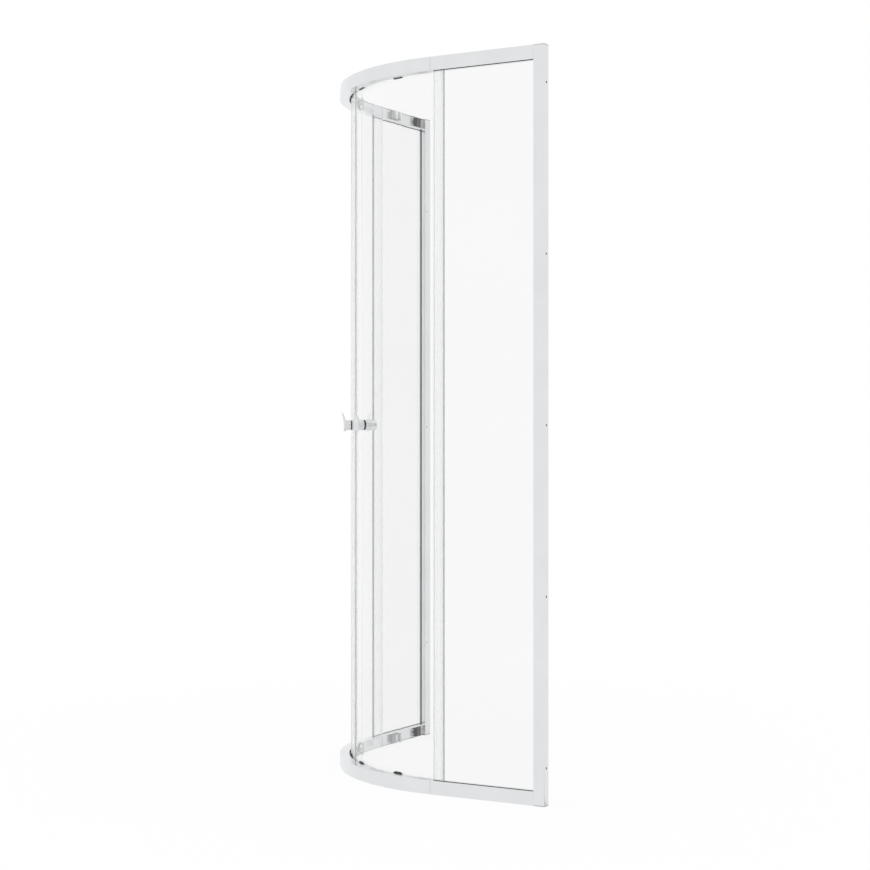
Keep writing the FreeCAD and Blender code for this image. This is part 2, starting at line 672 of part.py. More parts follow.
def top_bolt():
    """Bolt of a top roller, through the glass and the wheel."""
    shank = radial_rod(BOLT_RADIUS, bolt_root_r(), BODY_FACE_R, WHEEL_LEVEL)
    return union([shank] + wheel_pin(BODY_FACE_R))


def bottom_bolt():
    """Bolt of a bottom roller, from its cap into the body."""
    tip = carrier_back_r() - 2 * SLIDE_FIT
    return radial_rod(BOLT_RADIUS, bolt_root_r(), tip, WHEEL_LEVEL)


def glass_bush():
    """Sleeve that keeps a bolt off the glass."""
    inner = BOLT_RADIUS + SCREW_FIT
    outer = radial_rod(inner + BUSH_WALL, GLASS_IN, GLASS_OUT, WHEEL_LEVEL)
    return outer.cut(radial_rod(inner, GLASS_IN - PAST, GLASS_OUT + PAST, WHEEL_LEVEL))


def softened_rod(radius, r0, r1, z, round_radius):
    """Radial rod whose inner end, at r0, has a rounded rim."""
    rod = radial_rod(radius, r0, r1, z)
    rim = [edge for edge in rod.Edges
           if edge.Curve.TypeId == "Part::GeomCircle" and edge.Curve.Center.x < (r0 + r1) / 2]
    return rod.makeFillet(round_radius, rim)


def roller_cap():
    """Round nut on the inner face of the glass."""
    cap = softened_rod(CAP_RADIUS, CAP_SEAT_R - CAP_THICKNESS, CAP_SEAT_R, WHEEL_LEVEL, CAP_ROUND)
    bore = radial_rod(BOLT_RADIUS + SCREW_FIT, bolt_root_r(), CAP_SEAT_R + PAST, WHEEL_LEVEL)
    return cap.cut(bore)


def at_rollers(shape):
    """A bottom roller piece at the leading and the trailing place."""
    return [on_curve(shape, angle) for angle in roller_angles()]


def at_top_rollers(shape):
    """A piece modelled at the bottom rail, at both top roller places."""
    return [mirror_height(placed) for placed in at_rollers(shape)]


# ---- handle, modelled on the +X radius ----
def handle_bolt_reach():
    """Both ends of the handle's bolt."""
    return (GLASS_IN - HANDLE_WASHER - HANDLE_BOLT_DEPTH,
            GLASS_OUT + HANDLE_WASHER + HANDLE_BOLT_DEPTH)


def handle_hole():
    start, end = handle_bolt_reach()
    return radial_rod(HANDLE_BOLT_RADIUS + SCREW_FIT, start, end, HANDLE_HEIGHT)


def blade_outline(r):
    """Teardrop outline of the handle's blade, standing in the plane at r."""
    foot, tip = BLADE_FOOT_RADIUS, BLADE_TIP_RADIUS
    rise = BLADE_RISE - tip
    lean = math.acos((foot - tip) / rise)
    side, up = math.sin(lean), math.cos(lean)

    def at(y, z):
        return Vector(r, y, HANDLE_HEIGHT + z)

    right_foot, right_tip = at(foot * side, foot * up), at(tip * side, rise + tip * up)
    left_foot, left_tip = at(-foot * side, foot * up), at(-tip * side, rise + tip * up)
    edges = [Part.Arc(left_foot, at(0, -foot), right_foot).toShape(),
             Part.makeLine(right_foot, right_tip),
             Part.Arc(right_tip, at(0, rise + tip), left_tip).toShape(),
             Part.makeLine(left_tip, left_foot)]
    return Part.Face(Part.Wire(edges))


def blade(r):
    """Curved finger blade: a teardrop plate that sweeps outwards towards its tip."""
    def at(x, z):
        return Vector(x, -2 * BLADE_FOOT_RADIUS, HANDLE_HEIGHT + z)

    low, high = -BLADE_FOOT_RADIUS - 1, BLADE_RISE + 1
    thin = BLADE_THICKNESS / 2
    out_low, out_high = r + BLADE_THICKNESS, r + BLADE_THICKNESS + BLADE_LEAN
    in_low, in_high = r, out_high - thin
    outer_face = Part.Arc(at(out_low, low), at(out_low + BLADE_LEAN / 4, high / 2), at(out_high, high))
    inner_face = Part.Arc(at(in_high, high), at(in_low + BLADE_LEAN / 4, high / 2), at(in_low, low))
    edges = [outer_face.toShape(), Part.makeLine(at(out_high, high), at(in_high, high)),
             inner_face.toShape(), Part.makeLine(at(in_low, low), at(out_low, low))]
    side = Part.Face(Part.Wire(edges)).extrude(Vector(0, 4 * BLADE_FOOT_RADIUS, 0))
    teardrop = blade_outline(r - BLADE_THICKNESS)
    plate = teardrop.extrude(Vector(3 * BLADE_THICKNESS + 2 * BLADE_LEAN, 0, 0))
    return side.common(plate)


def handle_outer():
    """Outer half: a round neck that carries the blade."""
    start = GLASS_OUT + HANDLE_WASHER
    neck = radial_rod(HANDLE_RADIUS, start, start + HANDLE_NECK + BLADE_THICKNESS / 2,
                      HANDLE_HEIGHT)
    shape = union([neck, blade(start + HANDLE_NECK)])
    return shape.cut(handle_hole())


def handle_inner():
    """Inner half: a plain round knob with a softened end."""
    end = GLASS_IN - HANDLE_WASHER
    knob = softened_rod(HANDLE_RADIUS, end - HANDLE_INNER, end, HANDLE_HEIGHT, HANDLE_ROUND)
    return knob.cut(handle_hole())


def handle_washer(r0, r1):
    """Rubber washer whose glass side follows the curved pane."""
    disc = radial_rod(HANDLE_RADIUS - HANDLE_WASHER_INSET, r0, r1, HANDLE_HEIGHT)
    pane = Part.makeCylinder(GLASS_OUT, HEIGHT).cut(Part.makeCylinder(GLASS_IN, HEIGHT))
    return disc.cut(pane).cut(handle_hole())


def handle_washers():
    outer = handle_washer(GLASS_OUT - PAST, GLASS_OUT + HANDLE_WASHER)
    inner = handle_washer(GLASS_IN - HANDLE_WASHER, GLASS_IN)
    return [outer, inner]


def handle_bolt():
    start, end = handle_bolt_reach()
    return radial_rod(HANDLE_BOLT_RADIUS, start, end, HANDLE_HEIGHT)


def at_handle(shape):
    return on_curve(shape, MIDDLE_LINE + HANDLE_ANGLE)


# ---- the whole enclosure ----
def build_frame():
    save_pair("wall_profile", [wall_profile()])
    save("profile_end_caps", four_ways(profile_cap()))
    save_pair("side_stile", [side_stile()])
    screws = [stile_screw(z) for z in stile_screw_levels()]
    save("stile_screws", screws + [mirror_side(screw) for screw in screws])
    rail = bottom_rail()
    save("bottom_rail", [rail])
    save("top_rail", [mirror_height(rail)])


def build_fixed_glass():
    save_pair("fixed_glass", [fixed_glass()])
    save_pair("overlap_seal", [overlap_seal()])
    gasket = stile_gasket()
    save("stile_gaskets", [gasket, mirror_side(gasket)])
    save("rail_gaskets", four_ways(rail_gasket()))


def build_track_pieces():
    save("corner_brackets", four_ways(corner_bracket()))
    save("corner_blocks", four_ways(corner_block()))
    save("door_stops", four_ways(door_stop()))
    screws = []
    for screw in track_screws():
        screws += four_ways(screw)
    save("track_screws", screws)


def build_doors():
    save_pair("door_glass", [door_glass()])
    save_pair("magnetic_seal", [magnetic_seal()])
    save_pair("magnet_strip", [magnet_strip()])
    save_pair("trailing_seal", [trailing_seal()])
    save_pair("top_roller_bodies", at_top_rollers(body_shell()))
    save_pair("bottom_roller_bodies", at_rollers(bottom_body()))
    save_pair("roller_bolts", at_top_rollers(top_bolt()) + at_rollers(bottom_bolt()))
    save_pair("glass_bushes", at_top_rollers(glass_bush()) + at_rollers(glass_bush()))
    save_pair("roller_caps", at_top_rollers(roller_cap()) + at_rollers(roller_cap()))


def build_roller_movers():
    places = ["leading", "trailing"]
    for place, bottom, top in zip(places, at_rollers(wheel()), at_top_rollers(wheel())):
        save_pair(place + "_bottom_wheel", [bottom])
        save_pair(place + "_top_wheel", [top])
    for place, slide, spring in zip(places, at_rollers(carrier()), at_rollers(release_spring())):
        save_pair(place + "_release_slide", [slide])
        save_pair(place + "_release_spring", [spring])


def build_handles():
    save_pair("handle_outer", [at_handle(handle_outer())])
    save_pair("handle_inner", [at_handle(handle_inner())])
    save_pair("handle_washers", [at_handle(washer) for washer in handle_washers()])
    save_pair("handle_bolt", [at_handle(handle_bolt())])


build_frame()
build_fixed_glass()
build_track_pieces()
build_doors()
build_roller_movers()
build_handles()
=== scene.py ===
import json
import math

import bmesh
import bpy
from mathutils import Matrix, Vector

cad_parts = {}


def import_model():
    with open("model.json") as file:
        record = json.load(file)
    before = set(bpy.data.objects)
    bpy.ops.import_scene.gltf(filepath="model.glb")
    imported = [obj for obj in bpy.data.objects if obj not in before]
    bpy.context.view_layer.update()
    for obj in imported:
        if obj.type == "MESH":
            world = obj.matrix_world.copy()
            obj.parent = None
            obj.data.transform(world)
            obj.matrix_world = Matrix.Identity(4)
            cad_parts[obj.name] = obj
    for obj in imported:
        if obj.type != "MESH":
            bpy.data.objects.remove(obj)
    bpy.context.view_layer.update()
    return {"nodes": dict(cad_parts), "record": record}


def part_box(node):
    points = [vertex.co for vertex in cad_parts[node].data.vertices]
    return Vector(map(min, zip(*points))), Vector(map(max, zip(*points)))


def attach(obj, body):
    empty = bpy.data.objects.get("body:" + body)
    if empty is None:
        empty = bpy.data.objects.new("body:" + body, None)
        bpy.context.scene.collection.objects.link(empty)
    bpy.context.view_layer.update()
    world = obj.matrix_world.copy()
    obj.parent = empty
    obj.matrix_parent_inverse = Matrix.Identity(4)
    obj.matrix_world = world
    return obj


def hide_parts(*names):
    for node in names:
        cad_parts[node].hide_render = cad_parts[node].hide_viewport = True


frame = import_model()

NODES = frame["nodes"]
RECORD = frame["record"]
SLOT_OF = {row["node"]: row["material_slot"] for row in RECORD["subparts"]}
BODY_OF = {node: body for body, nodes in RECORD["behaviour"]["bodies"].items() for node in nodes}

# Quadrant shower enclosure, metres, +Z up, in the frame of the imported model.
# The right panel runs along -Y and the left panel along -X; the curve joins them.
# Outlines are drawn in millimetres and scaled by MM when they become a mesh.
MM = 0.001

# ---- sizes ----
HALF = -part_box("bottom_rail")[0].x / MM             # middle of the footprint to an outer face
RAIL_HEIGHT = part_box("bottom_rail")[1].z / MM
RAIL_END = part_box("bottom_rail")[1].x / MM          # where a rail meets the wall profile
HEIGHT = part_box("profile_end_caps")[1].z / MM
POST_WIDTH = HALF - RAIL_END
POST_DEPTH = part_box("right_wall_profile")[1].y / MM + HALF
POST_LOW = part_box("right_wall_profile")[0].z / MM
POST_WALL = 1.8
CURVE_RADIUS = 530.0
CENTRE = CURVE_RADIUS - HALF                        # arc centre, the same in X and Y
MIDDLE_LINE = 225.0                                 # where the doors meet, degrees
CURVE_END = 270.0                                   # where the right straight begins
RAIL_WALL = 1.6
RAIL_CROWN = 1.2                                    # how far the crown swells out
RAIL_CROWN_RISE = 18.0
RAIL_FLANGE = 18.0
RAIL_DEPTH = 27.8
RAIL_EDGE = 1.0                                     # lip along the track's inner edge
RAIL_EDGE_DROP = 1.2
WEB_FACE = 13.55                                    # inner face of the web, from the outer face
TRACK_LEVEL = RAIL_HEIGHT - 1.8
RAIL_SEAM = 0.5                                     # joint line where the straights meet the curve
CURVE_STEPS = 72
SLOT_START, SLOT_END = 2.9, 11.9                    # glass slot in the rails' and stiles' depth
FIXED_EDGE = 9.0                                    # from the curve to the fixed glass's free edge
STILE_BACK = 8.0
STILE_POCKET = 13.0
STILE_FACE = 2.0
STILE_DEPTH = 21.5
WALL_HOLE_RADIUS = 3.0
WALL_HOLE_LEVELS = [100.0 + 450.0 * i for i in range(5)]
GLASS_OUT = 498.0                                   # door glass, from the arc centre
GLASS_IN = 492.0
DOOR_OVERLAP = 25.0
DOOR_END_GAP = 7.0
FIXED_OUT, FIXED_IN = 4.4, 10.4                     # fixed glass, from the outer face
SEAL_CLEARANCE = 0.06                               # between the seals' legs and the glass
SEAL_LOW = 39.0                                     # seals of the fixed glass clear the rails
FIN_LOW = 43.5                                      # fins clear the release buttons
GRIP = 10.0                                         # length of a seal's legs along the glass
SEAL_BACK = 1.4                                     # seal past the glass's edge
LEG_ROOT = 0.9                                      # thickness of a seal's legs at the back
OVERLAP_LEG, DOOR_LEG = 0.7, 0.6                    # and at their tips
FIN_START, FIN_THICKNESS = 0.3, 1.1
OVERLAP_FIN, DOOR_FIN = 13.0, 6.0                   # reach of the fins past the glass's edge
OVERLAP_FIN_TIP = 31.1                              # depth of the tip, from the outer face
MAGNET_NEAR, MAGNET_FAR = 0.2, 7.2                  # magnet housing, from the doors' middle line
MAGNET_HALF = 7
LEADING_EDGE = 8.7                                  # door glass's edge, from the middle line
LEADING_LEG = 18.7
SCREW_HEAD_RADIUS = 3.2
SCREW_HEAD = 2.0
SCREW_RADIUS = 1.7
CROSS_WIDTH, CROSS_DEPTH, CROSS_REACH = 0.45, 1.1, 2.0
BRACKET_SCREWS = (14.2, 64.0)                       # from the wall profile, along the rail
BRACKET_SCREW_LEVELS = (12.0, 26.0)
BRACKET_THICKNESS = 1.5
STOP_START, STOP_LENGTH = 188.0, 36.5               # door stop, from the wall
STOP_LOW, STOP_HIGH = 3.0, 28.0
STOP_THICKNESS = 3.0
STILE_SCREW_LEVELS = (300.0, 1000.0, 1700.0)
STILE_SHANK = 6.0


# ---- materials ----
class Shader:
    """A material's node tree with a Principled shader, and short calls to add nodes."""

    def __init__(self, name, **values):
        self.material = bpy.data.materials.new(name)
        self.material.use_nodes = True
        self.tree = self.material.node_tree
        self.surface = self.tree.nodes["Principled BSDF"]
        self.output = self.tree.nodes["Material Output"]
        for socket, value in values.items():
            self.surface.inputs[socket.replace("_", " ")].default_value = value

    def add(self, kind, **settings):
        node = self.tree.nodes.new(kind)
        for name, value in settings.items():
            setattr(node, name, value)
        return node

    def join(self, start, end):
        self.tree.links.new(start, end)

    def place(self, scale):
        """Object coordinates stretched by a scale along each axis."""
        coordinates = self.add("ShaderNodeTexCoord")
        mapping = self.add("ShaderNodeMapping")
        mapping.inputs["Scale"].default_value = scale
        self.join(coordinates.outputs["Object"], mapping.inputs["Vector"])
        return mapping.outputs["Vector"]

    def noise(self, scale, detail, stretch=(1, 1, 1)):
        node = self.add("ShaderNodeTexNoise")
        node.inputs["Scale"].default_value = scale
        node.inputs["Detail"].default_value = detail
        self.join(self.place(stretch), node.inputs["Vector"])
        return node.outputs["Fac"]

    def spread(self, value, low, high):
        """Maps a noise value to a range."""
        node = self.add("ShaderNodeMapRange")
        node.inputs["From Min"].default_value = 0.3
        node.inputs["From Max"].default_value = 0.7
        node.inputs["To Min"].default_value = low
        node.inputs["To Max"].default_value = high
        self.join(value, node.inputs["Value"])
        return node.outputs["Result"]

    def tint(self, value, dark, light):
        """Colours between dark and light, by a noise value."""
        node = self.add("ShaderNodeMix", data_type="RGBA")
        node.inputs["A"].default_value = (*dark, 1)
        node.inputs["B"].default_value = (*light, 1)
        self.join(self.spread(value, 0.0, 1.0), node.inputs["Factor"])
        return node.outputs["Result"]

    def relief(self, value, depth, strength):
        """Bump of a real depth, in metres."""
        node = self.add("ShaderNodeBump")
        node.inputs["Distance"].default_value = depth
        node.inputs["Strength"].default_value = strength
        self.join(value, node.inputs["Height"])
        self.join(node.outputs["Normal"], self.surface.inputs["Normal"])

    def colour_from(self, output):
        self.join(output, self.surface.inputs["Base Color"])

    def roughness_from(self, output):
        self.join(output, self.surface.inputs["Roughness"])


def drawn_metal(name, stretch, dark, light, low, high):
    """Bright anodised extrusion with fine lines along its length."""
    shader = Shader(name, Metallic=1.0)
    lines = shader.noise(1.0, 3.0, stretch)
    cloud = shader.noise(9.0, 2.0)
    shader.colour_from(shader.tint(cloud, dark, light))
    shader.roughness_from(shader.spread(lines, low, high))
    shader.relief(lines, 0.00002, 0.2)
    return shader.material


def plain_metal(name, dark, light, low, high, grain):
    """Plated or cast metal with a cloudy finish."""
    shader = Shader(name, Metallic=1.0)
    value = shader.noise(grain, 5.0)
    shader.colour_from(shader.tint(value, dark, light))
    shader.roughness_from(shader.spread(shader.noise(grain * 2.3, 3.0), low, high))
    shader.relief(value, 0.00002, 0.15)
    return shader.material


def moulded(name, dark, light, low, high):
    """Moulded plastic or rubber with a fine grain."""
    shader = Shader(name)
    fine = shader.noise(900.0, 2.0)
    shader.colour_from(shader.tint(shader.noise(60.0, 3.0), dark, light))
    shader.roughness_from(shader.spread(fine, low, high))
    shader.relief(fine, 0.00004, 0.3)
    return shader.material


def let_light_through(shader):
    """Shadow and diffuse rays pass a clear piece instead of stopping at it."""
    path = shader.add("ShaderNodeLightPath")
    clear = shader.add("ShaderNodeBsdfTransparent")
    clear.inputs["Color"].default_value = (0.94, 0.95, 0.95, 1)
    mix = shader.add("ShaderNodeMixShader")
    either = shader.add("ShaderNodeMath", operation="MAXIMUM")
    shader.join(path.outputs["Is Shadow Ray"], either.inputs[0])
    shader.join(path.outputs["Is Diffuse Ray"], either.inputs[1])
    shader.join(either.outputs["Value"], mix.inputs["Fac"])
    shader.join(shader.surface.outputs["BSDF"], mix.inputs[1])
    shader.join(clear.outputs["BSDF"], mix.inputs[2])
    shader.join(mix.outputs["Shader"], shader.output.inputs["Surface"])


def glass():
    """Clear toughened glass."""
    shader = Shader("clear_glass", Roughness=0.0, IOR=1.5)
    shader.surface.inputs["Transmission Weight"].default_value = 1.0
    wave = shader.noise(2.2, 1.0)
    shader.colour_from(shader.tint(wave, (0.934, 0.935, 0.935), (0.940, 0.941, 0.941)))
    shader.relief(wave, 0.0002, 0.05)
    let_light_through(shader)
    return shader.material


def soft_clear(name):
    """Translucent extruded seal, with faint lines down its length."""
    shader = Shader(name, IOR=1.003)
    shader.surface.inputs["Transmission Weight"].default_value = 0.95
    lines = shader.noise(1.0, 2.0, (1200, 1200, 1))
    shader.colour_from(shader.tint(lines, (0.965, 0.970, 0.970), (0.985, 0.988, 0.988)))
    shader.roughness_from(shader.spread(lines, 0.04, 0.10))
    shader.relief(lines, 0.00001, 0.1)
    let_light_through(shader)
    return shader.material


ALONG_RAIL = (0, 0, 2600)
UPRIGHT = (2600, 2600, 3)
SILVER_DARK, SILVER_LIGHT = (0.735, 0.750, 0.765), (0.770, 0.785, 0.800)
MATERIALS = {
    "rail_silver": drawn_metal("rail_silver", ALONG_RAIL, SILVER_DARK, SILVER_LIGHT, 0.16, 0.28),
    "upright_silver": drawn_metal("upright_silver", UPRIGHT, SILVER_DARK, SILVER_LIGHT,
                                  0.16, 0.28),
    "clear_glass": glass(),
    "clear_seal": soft_clear("clear_seal"),
    "magnet_rubber": moulded("magnet_rubber", (0.74, 0.75, 0.76), (0.82, 0.83, 0.84), 0.5, 0.7),
    "black_rubber": moulded("black_rubber", (0.035, 0.035, 0.036), (0.060, 0.060, 0.061),
                            0.55, 0.75),
    "grey_plastic": moulded("grey_plastic", (0.40, 0.41, 0.42), (0.48, 0.49, 0.50), 0.35, 0.5),
    "black_plastic": moulded("black_plastic", (0.016, 0.016, 0.018), (0.035, 0.035, 0.038),
                             0.32, 0.48),
    "white_plastic": moulded("white_plastic", (0.78, 0.78, 0.77), (0.86, 0.86, 0.85),
                             0.35, 0.5),
    "wheel_nylon": moulded("wheel_nylon", (0.70, 0.70, 0.68), (0.80, 0.80, 0.78), 0.3, 0.42),
    "chrome": plain_metal("chrome", (0.66, 0.67, 0.68), (0.74, 0.75, 0.76), 0.04, 0.10, 40.0),
    "steel": plain_metal("steel", (0.62, 0.62, 0.62), (0.78, 0.78, 0.78), 0.25, 0.42, 180.0),
}


def finish_of(node):
    slot = SLOT_OF[node]
    if slot == "silver_aluminium":
        slot = "rail_silver" if "rail" in node else "upright_silver"
    return MATERIALS[slot]


def dress_frame():
    """Gives every node the material of its record slot."""
    for name, node in NODES.items():
        node.data.materials.clear()
        node.data.materials.append(finish_of(name))


# ---- mesh helpers ----
def corner(before, here, after, radius, steps):
    """Points that round a corner of an outline; a nearly straight corner stays one point."""
    here = Vector(here)
    back, on = Vector(before) - here, Vector(after) - here
    if (-back).angle(on) < math.radians(12):
        return [here]
    reach = min(radius, back.length * 0.45, on.length * 0.45)
    start = here + back.normalized() * reach
    end = here + on.normalized() * reach
    share = [i / steps for i in range(steps + 1)]
    return [start * (1 - t) ** 2 + here * 2 * t * (1 - t) + end * t ** 2 for t in share]


def rounded(outline, radius, steps=3):
    count = len(outline)
    points = []
    for i in range(count):
        points += corner(outline[i - 1], outline[i], outline[(i + 1) % count], radius, steps)
    return points


def skin(shape, rings):
    """Closed skin through matching rings of points, filled at both ends."""
    rows = [[shape.verts.new(Vector(point) * MM) for point in ring] for ring in rings]
    for low, high in zip(rows, rows[1:]):
        for i in range(len(low)):
            j = (i + 1) % len(low)
            shape.faces.new((low[i], low[j], high[j], high[i]))
    shape.faces.new(rows[0])
    shape.faces.new(reversed(rows[-1]))


def piece(name, shape, nodes, crease=40.0):
    """Turns a shape into a piece that stands for CAD nodes and moves with their body."""
    bmesh.ops.recalc_face_normals(shape, faces=shape.faces)
    mesh = bpy.data.meshes.new(name)
    shape.to_mesh(mesh)
    shape.free()
    mesh.materials.append(finish_of(nodes[0]))
    for polygon in mesh.polygons:
        polygon.use_smooth = True
    mesh.set_sharp_from_angle(angle=math.radians(crease))
    made = bpy.data.objects.new(name, mesh)
    bpy.context.scene.collection.objects.link(made)
    even = made.modifiers.new("even_faces", "WEIGHTED_NORMAL")
    even.keep_sharp = True
    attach(made, BODY_OF[nodes[0]])
    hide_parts(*nodes)
    return made


def panel_point(side, wall, depth, z):
    """Point on a side panel, from the wall and from the outer face."""
    x, y = HALF - wall, depth - HALF
    return (x, y, z) if side == "right" else (y, x, z)


def door_point(side, length, radius, z, datum):
    """Point on a door, by the length along its glass from a datum direction."""
    angle = math.radians(datum) + length / GLASS_OUT
    x, y = CENTRE + radius * math.cos(angle), CENTRE + radius * math.sin(angle)
    return (x, y, z) if side == "right" else (y, x, z)


def upright(shape, outline, place, low, high):
    """Vertical extrusion of an outline, its end rims a little softened."""
    middle = sum((Vector(point) for point in outline), Vector((0, 0))) / len(outline)
    rings = []
    for z, inset in ((low, 0.25), (low + 0.25, 0.0), (high - 0.25, 0.0), (high, 0.25)):
        ring = []
        for point in outline:
            towards = middle - Vector(point)
            ring.append(Vector(point) + towards.normalized() * min(inset, towards.length / 4))
        rings.append([place(point[0], point[1], z) for point in ring])
    skin(shape, rings)


# ---- rails ----
def rail_outline(slotted):
    """Cross-section of the bottom rail as (depth, height)."""
    radius = (RAIL_CROWN_RISE ** 2 + RAIL_CROWN ** 2) / (2 * RAIL_CROWN)
    sweep = math.asin(RAIL_CROWN_RISE / radius)
    turns = [sweep * i / 8 for i in range(9)]
    crown = [(radius * (1 - math.cos(t)), RAIL_CROWN_RISE - radius * math.sin(t)) for t in turns]
    edge_face = RAIL_DEPTH - RAIL_EDGE
    outline = crown + [
        (RAIL_FLANGE, 0), (RAIL_FLANGE, RAIL_WALL), (WEB_FACE, RAIL_WALL),
        (WEB_FACE, TRACK_LEVEL), (edge_face, TRACK_LEVEL),
        (edge_face, TRACK_LEVEL - RAIL_EDGE_DROP), (RAIL_DEPTH, TRACK_LEVEL - RAIL_EDGE_DROP),
        (RAIL_DEPTH, RAIL_HEIGHT)]
    if slotted:
        outline += [(SLOT_END, RAIL_HEIGHT), (SLOT_END, RAIL_WALL), (SLOT_START, RAIL_WALL),
                    (SLOT_START, RAIL_HEIGHT)]
    return rounded(outline + [(0, RAIL_HEIGHT)], 0.45)


def rail_ring(outline, start, inwards, level):
    """Section of a rail standing at a point of its outer line."""
    return [(start[0] + depth * inwards[0], start[1] + depth * inwards[1], level(z))
            for depth, z in outline]


def rail(name, level):
    """Whole rail: two slotted straights, two plain ends beside the curve, and the curve."""
    shape = bmesh.new()
    slotted, plain = rail_outline(True), rail_outline(False)
    slot_end = CENTRE + FIXED_EDGE
    for outline, far, near in ((slotted, RAIL_END, slot_end),
                               (plain, slot_end, CENTRE + RAIL_SEAM)):
        skin(shape, [rail_ring(outline, (x, -HALF), (0, 1), level) for x in (far, near)])
        skin(shape, [rail_ring(outline, (-HALF, y), (1, 0), level) for y in (far, near)])
    rings = []
    for i in range(CURVE_STEPS + 1):
        angle = math.radians(180 + 90 * i / CURVE_STEPS)
        out = (math.cos(angle), math.sin(angle))
        start = (CENTRE + CURVE_RADIUS * out[0], CENTRE + CURVE_RADIUS * out[1])
        rings.append(rail_ring(plain, start, (-out[0], -out[1]), level))
    skin(shape, rings)
    piece(name + "_section", shape, [name])


def rails():
    rail("bottom_rail", lambda z: z)
    rail("top_rail", lambda z: HEIGHT - z)


# ---- wall profiles and side stiles ----
def wall_profile_outline():
    inner = POST_DEPTH - POST_WALL
    return rounded([(0, 0), (POST_WIDTH, 0), (POST_WIDTH, POST_WALL), (POST_WALL, POST_WALL),
                    (POST_WALL, inner), (POST_WIDTH, inner), (POST_WIDTH, POST_DEPTH),
                    (0, POST_DEPTH)], 0.5)


def stile_outline():
    """Box behind a glass pocket, with the pocket's mouth towards the panel."""
    rear = STILE_FACE + STILE_DEPTH
    pocket = POST_WIDTH - STILE_POCKET
    return rounded([(STILE_BACK, STILE_FACE), (POST_WIDTH, STILE_FACE), (POST_WIDTH, SLOT_START),
                    (pocket, SLOT_START), (pocket, SLOT_END), (POST_WIDTH, SLOT_END),
                    (POST_WIDTH, rear), (STILE_BACK, rear)], 0.35)


def bored(made, places, axis, radius, length):
    """Cuts round holes through a piece."""
    shape = bmesh.new()
    turn = Vector((0, 0, 1)).rotation_difference(Vector(axis)).to_matrix().to_4x4()
    for place in places:
        bmesh.ops.create_cone(shape, cap_ends=True, segments=32, radius1=radius * MM,
                              radius2=radius * MM, depth=length * MM,
                              matrix=Matrix.Translation(Vector(place) * MM) @ turn)
    mesh = bpy.data.meshes.new("cutter")
    shape.to_mesh(mesh)
    shape.free()
    cutter = bpy.data.objects.new("cutter", mesh)
    bpy.context.scene.collection.objects.link(cutter)
    cut = made.modifiers.new("holes", "BOOLEAN")
    cut.object = cutter
    cut.solver = "EXACT"
    ready = made.evaluated_get(bpy.context.evaluated_depsgraph_get())
    made.data = bpy.data.meshes.new_from_object(ready)
    made.modifiers.clear()
    bpy.data.objects.remove(cutter)


def uprights():
    for side in ("right", "left"):
        def place(wall, depth, z):
            return panel_point(side, wall, depth, z)

        shape = bmesh.new()
        upright(shape, wall_profile_outline(), place, POST_LOW, HEIGHT - POST_LOW)
        made = piece(side + "_wall_channel", shape, [side + "_wall_profile"])
        holes = [place(0, POST_DEPTH / 2, z) for z in WALL_HOLE_LEVELS]
        bored(made, holes, (1, 0, 0) if side == "right" else (0, 1, 0), WALL_HOLE_RADIUS, 6.0)
        shape = bmesh.new()
        upright(shape, stile_outline(), place, POST_LOW, HEIGHT - POST_LOW)
        piece(side + "_stile_section", shape, [side + "_side_stile"])


# ---- glass and seals ----
def fixed_glass():
    """Flat panes with ground edges."""
    for side in ("right", "left"):
        low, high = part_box(side + "_fixed_glass")
        axis, across = (0, 1) if side == "right" else (1, 0)
        wall0, wall1 = HALF - high[axis] / MM, HALF - low[axis] / MM
        depth0, depth1 = low[across] / MM + HALF, high[across] / MM + HALF
        outline = rounded([(wall0, depth0), (wall1, depth0), (wall1, depth1), (wall0, depth1)],
                          0.8, 2)
        shape = bmesh.new()
        upright(shape, outline, lambda wall, depth, z: panel_point(side, wall, depth, z),
                low.z / MM, high.z / MM)
        piece(side + "_fixed_pane", shape, [side + "_fixed_glass"], 30.0)


def overlap_seals():
    """U on the fixed glass's free edge, and its fin towards the door."""
    edge = HALF - CENTRE - FIXED_EDGE + SEAL_CLEARANCE
    outer, inner = FIXED_OUT - SEAL_CLEARANCE, FIXED_IN + SEAL_CLEARANCE
    legs, back = edge - GRIP, edge + SEAL_BACK
    grip = [(legs, outer), (legs, outer - OVERLAP_LEG), (back, outer - LEG_ROOT),
            (back, inner + LEG_ROOT), (legs, inner + OVERLAP_LEG), (legs, inner),
            (edge, inner), (edge, outer)]
    fin = [(edge + FIN_START, inner + 0.5), (back, inner), (back, inner + LEG_ROOT),
           (edge + OVERLAP_FIN + FIN_THICKNESS, OVERLAP_FIN_TIP),
           (edge + OVERLAP_FIN, OVERLAP_FIN_TIP)]
    for side in ("right", "left"):
        def place(wall, depth, z):
            return panel_point(side, wall, depth, z)

        shape = bmesh.new()
        upright(shape, rounded(grip, 0.3, 2), place, SEAL_LOW, HEIGHT - SEAL_LOW)
        upright(shape, rounded(fin, 0.2, 2), place, FIN_LOW, HEIGHT - FIN_LOW)
        piece(side + "_overlap_strip", shape, [side + "_overlap_seal"])


